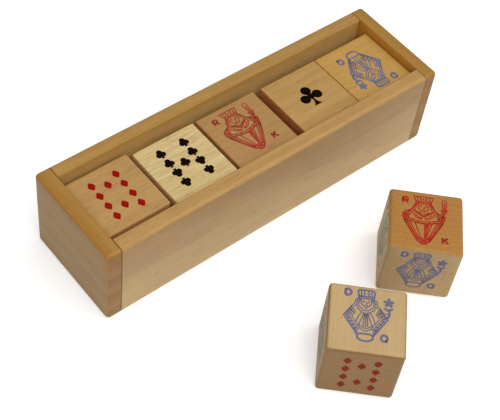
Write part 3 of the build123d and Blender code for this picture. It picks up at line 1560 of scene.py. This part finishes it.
# Painted light: the right panel's inner face is lighter and more orange, like bounce light from the dice
RIGHT_WOOD = replace(
    END_WOOD,
    end_tint=(0.97, 0.8, 0.5),
    upper_tint=(1.38, 1.32, 0.93),
    inside_tint=(1.95, 1.6, 0.82),
    brow_tint=(0.92, 0.84, 0.78),
)
FLOOR_WOOD = WoodFinish("floor_wood", light=(186, 150, 98), dark=(158, 118, 68), fleck=(112, 78, 44))
DOWEL_WOOD = WoodFinish("dowel_wood", light=(206, 176, 126), dark=(180, 146, 96), fleck=(128, 94, 58))

# Painted light: the face of this die that looks into the gap, die_1's front face, is lightened over its
# shade
TAN_WOOD = WoodFinish(
    slot="tan_die_wood",
    light=(194, 159, 110),
    dark=(171, 134, 85),
    fleck=(120, 82, 48),
    edge_tint=DICE_EDGE_HIGHLIGHT,
    inside_tint=(1.4, 1.3, 1.15),
    ring_strength=0.12,
)
DARK_TAN_WOOD = replace(TAN_WOOD, light=(183, 147, 101), dark=(161, 123, 78), inside_tint=GAP_SHADING_TINT)
PALE_WOOD = WoodFinish(
    slot="pale_die_wood",
    light=(222, 207, 167),
    dark=(198, 175, 126),
    fleck=(146, 112, 66),
    edge_tint=DICE_EDGE_HIGHLIGHT,
    inside_tint=GAP_SHADING_TINT,
    ring_width=2.2,
    ring_strength=0.25,
    fleck_strength=0.6,
)
# Painted shade: the face of this die that looks into the gap beside it is darker and redder
BROWN_WOOD = WoodFinish(
    slot="brown_die_wood",
    light=(194, 161, 108),
    dark=(171, 134, 82),
    fleck=(118, 80, 46),
    edge_tint=DICE_EDGE_HIGHLIGHT,
    inside_tint=(1.25, 0.75, 0.58),
    ring_width=2.4,
)
GOLDEN_WOOD = WoodFinish(
    slot="golden_die_wood",
    light=(199, 163, 97),
    dark=(181, 142, 76),
    fleck=(126, 88, 48),
    edge_tint=DICE_EDGE_HIGHLIGHT,
    inside_tint=GAP_SHADING_TINT,
    ring_strength=0.12,
)
# Painted light and shade: the loose die's sides are a darker copy of its timber, and its top is tinted
# warmer as lit from above
KING_DIE_WOOD = replace(
    BROWN_WOOD,
    light=(174, 147, 100),
    dark=(154, 122, 76),
    upper_tint=(1.34, 1.0, 0.52),
    edge_tint=(0.9, 0.82, 0.7),
    ring_strength=0.08,
    fibre_strength=0.25,
    edge_width=1.4,
    lit_top_from=0.5,
)
# Painted light and shade: the loose die's sides are a darker copy of its timber, and its top is painted far
# lighter as lit from above
QUEEN_DIE_WOOD = replace(
    GOLDEN_WOOD,
    light=(150, 116, 71),
    dark=(133, 98, 52),
    upper_tint=(1.98, 2.46, 3.4),
    edge_tint=(0.85, 0.75, 0.62),
    ring_strength=0.08,
    fibre_strength=0.25,
    fleck_strength=0.6,
    edge_width=1.6,
    lit_top_from=0.5,
)

INKS = (
    InkFinish(Mark.ACE, (14, 5, 2), (30, 18, 11), 0.3),
    InkFinish(Mark.KING, (170, 44, 30), (180, 84, 54)),
    InkFinish(Mark.KING, (160, 57, 39), (174, 92, 62), die="die_3"),
    InkFinish(Mark.QUEEN, (105, 106, 136), (131, 126, 138)),
    # Painted shade: the queen on loose_die_1's shaded front face is printed in a darker ink
    InkFinish(Mark.QUEEN, (94, 95, 124), (120, 115, 127), die="loose_die_1"),
    InkFinish(Mark.JACK, (96, 118, 84), (132, 134, 92)),
    InkFinish(Mark.TEN, (146, 12, 6), (164, 38, 22), 0.4),
    # Painted shade: the ten on loose_die_2's shaded front face is printed in a darker, browner ink
    InkFinish(Mark.TEN, (116, 32, 18), (132, 56, 40), 0.4, die="loose_die_2"),
    InkFinish(Mark.NINE, (14, 5, 2), (30, 18, 11), 0.3),
)

BOARDS = (
    Block("front_wall", WALL_WOOD, Grain.ALONG_X, (310, 80, -18), inward=BACK),
    Block("back_wall", BACK_WOOD, Grain.ALONG_X, (-205, 57, -71), inward=FRONT),
    Block("left_end_panel", END_WOOD, Grain.ALONG_Y, (120, -62, 55), inward=RIGHT),
    Block("right_end_panel", RIGHT_WOOD, Grain.ALONG_Y, (-90, 95, -120), inward=LEFT),
    Block("floor_board", FLOOR_WOOD, Grain.ALONG_X, (55, 31, 64)),
)


def cube(node: str, finish: WoodFinish, grain: Grain, heart: Triple, **lie: object) -> Block:
    """The block of a die."""
    return Block(node, finish, grain, heart, size=DIE_SIZE, **lie)


# The inward side of a die in the row is the one that gets the painted light and shade of the gap beside it
DICE = (
    Die(cube("die_1", TAN_WOOD, Grain.ALONG_X, (95, 41, 22), inward=FRONT), Mark.TEN),
    Die(cube("die_2", PALE_WOOD, Grain.ALONG_X, (-160, 30, 8), inward=LEFT), Mark.NINE),
    Die(cube("die_3", DARK_TAN_WOOD, Grain.ALONG_X, (233, -52, 30), inward=LEFT), Mark.KING),
    Die(cube("die_4", BROWN_WOOD, Grain.ALONG_X, (17, 26, 11), inward=LEFT), Mark.ACE),
    Die(cube("die_5", GOLDEN_WOOD, Grain.ALONG_X, (-310, 75, 12), inward=LEFT), Mark.QUEEN, FRONT),
    Die(cube("loose_die_1", KING_DIE_WOOD, Grain.ALONG_Z, (140, -60, 88), turn=LOOSE_TURN), Mark.KING),
    Die(cube("loose_die_2", QUEEN_DIE_WOOD, Grain.ALONG_Y, (-75, 48, 29), turn=LOOSE_TURN), Mark.QUEEN),
)


def main() -> None:
    """Build the studio, the tray and the dice in order."""
    logging.basicConfig(level=logging.INFO, format="%(name)s: %(message)s")
    effects = Effects()
    Studio().build()
    Tray(BOARDS, DOWEL_WOOD).dress(effects)
    DiceSet(DICE, INKS).build(effects)


if __name__ == "__main__":
    main()
